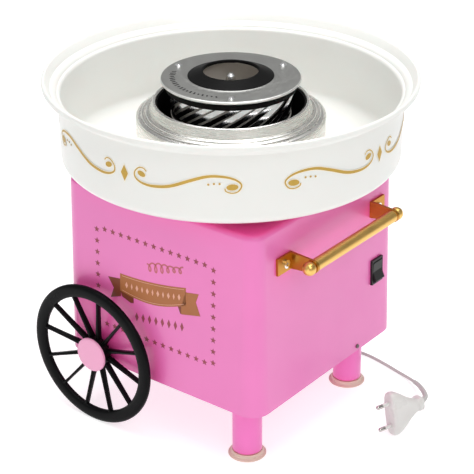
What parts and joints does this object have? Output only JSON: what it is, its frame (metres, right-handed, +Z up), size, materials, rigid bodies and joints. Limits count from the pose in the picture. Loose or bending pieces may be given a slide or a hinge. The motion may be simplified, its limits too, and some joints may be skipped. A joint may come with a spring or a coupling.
{
  "type": "cotton candy machine",
  "caption": "Table-top cotton candy machine shaped as a small cart, with a lift-off catch bowl, a spinning heated head, spoked side wheels, suction feet and a push handle.",
  "frame": {"origin": "on the spinner's axis at floor level, under the middle of the bowl's rim", "axes": "+Z up, +X towards the handle and switch, -Y towards the panel with the star border and the left wheel"},
  "size_m": [0.3048, 0.29, 0.2843],
  "materials": {
    "pink_shell": "smooth glossy moulded plastic, pink",
    "pink_leg": "glossy pink moulded plastic",
    "pink_cap": "pale pink moulded plastic",
    "white_bowl": "semi-gloss off-white moulded plastic",
    "black_wheel": "semi-gloss black moulded plastic",
    "black_switch": "fine-textured black moulded plastic",
    "gold_handle": "satin gold plating",
    "bright_screw": "bright plated steel",
    "floor_plate": "matt pink moulded plastic",
    "suction_foot": "soft translucent beige",
    "axle_steel": "turned steel rod",
    "collar_aluminium": "spun aluminium, satin with turned rings",
    "pan_black": "heat-proof black coating",
    "head_aluminium": "satin grey aluminium with a polished edge",
    "band_bright": "polished aluminium strip",
    "rivet_bright": "polished rivets",
    "element_steel": "heat-tinted tubular element",
    "insulator_ceramic": "unglazed white ceramic",
    "motor_steel": "zinc plated steel",
    "zinc_plate": "zinc plated sheet",
    "rubber_black": "soft black rubber",
    "fan_plastic": "natural nylon",
    "terminal_nylon": "natural nylon",
    "lead_sleeve": "soft insulation",
    "cord_white": "soft white cord sheath",
    "plug_white": "semi-gloss white moulded plug",
    "pin_metal": "nickel plated pins"
  },
  "bodies": {
    "root": {"cabinet_shell": "pink_shell", "base_plate": "floor_plate", "base_screws": "bright_screw", "leg_left": "pink_leg", "leg_right": "pink_leg", "leg_screws": "bright_screw", "suction_foot_left": "suction_foot", "suction_foot_right": "suction_foot", "wheel_axle": "axle_steel", "axle_bushes": "black_switch", "axle_clips": "axle_steel", "handle_bar": "gold_handle", "handle_bracket_left": "gold_handle", "handle_bracket_right": "gold_handle", "handle_knob_left": "gold_handle", "handle_knob_right": "gold_handle", "handle_screws": "bright_screw", "switch_bezel": "black_switch", "heater_housing": "collar_aluminium", "guard_ring": "collar_aluminium", "housing_screws": "bright_screw", "heater_pan": "pan_black", "heating_element": "element_steel", "element_insulators": "insulator_ceramic", "thermostat": "zinc_plate", "thermal_fuse": "zinc_plate", "motor_case": "motor_steel", "motor_bracket": "zinc_plate", "motor_grommets": "rubber_black", "motor_spacers": "zinc_plate", "motor_screws": "bright_screw", "terminal_block": "terminal_nylon", "cord_clamp": "terminal_nylon", "clamp_screw": "bright_screw", "mains_lead": "lead_sleeve", "motor_lead": "lead_sleeve", "heater_lead": "lead_sleeve", "cord_gland": "cord_white", "power_cord": "cord_white", "plug_strain_relief": "plug_white", "plug_body": "plug_white", "plug_pins": "pin_metal", "plug_pin_sleeves": "plug_white"},
    "wheel_left": {"wheel_left": "black_wheel", "hub_cap_left": "pink_cap"},
    "wheel_right": {"wheel_right": "black_wheel", "hub_cap_right": "pink_cap"},
    "rotor": {"motor_shaft": "axle_steel", "cooling_fan": "fan_plastic"},
    "head": {"head_disc": "head_aluminium", "head_band": "band_bright", "head_pan": "head_aluminium", "head_hub": "rivet_bright", "head_rivets": "rivet_bright"},
    "bowl": {"bowl": "white_bowl"},
    "rocker": {"switch_rocker": "black_switch"}
  },
  "joints": [
    {"name": "wheel_left_spin", "type": "hinge", "parent": "root", "child": "wheel_left", "pos_m": [-0.0603, -0.1, 0.0602], "axis": [0, 1, 0], "continuous": true},
    {"name": "wheel_right_spin", "type": "hinge", "parent": "root", "child": "wheel_right", "pos_m": [-0.0603, 0.1, 0.0602], "axis": [0, 1, 0], "continuous": true},
    {"name": "rotor_spin", "type": "hinge", "parent": "root", "child": "rotor", "pos_m": [0, 0, 0.2], "axis": [0, 0, 1], "continuous": true},
    {"name": "head_lift", "type": "slide", "parent": "rotor", "child": "head", "axis": [0, 0, 1], "range_m": [0, 0.06]},
    {"name": "bowl_lift", "type": "slide", "parent": "root", "child": "bowl", "axis": [0, 0, 1], "range_m": [0, 0.1]},
    {"name": "switch_rock", "type": "hinge", "parent": "root", "child": "rocker", "pos_m": [0.09582, 0.0659, 0.11441], "axis": [0, 1, 0], "range_deg": [0, 18]}
  ]
}
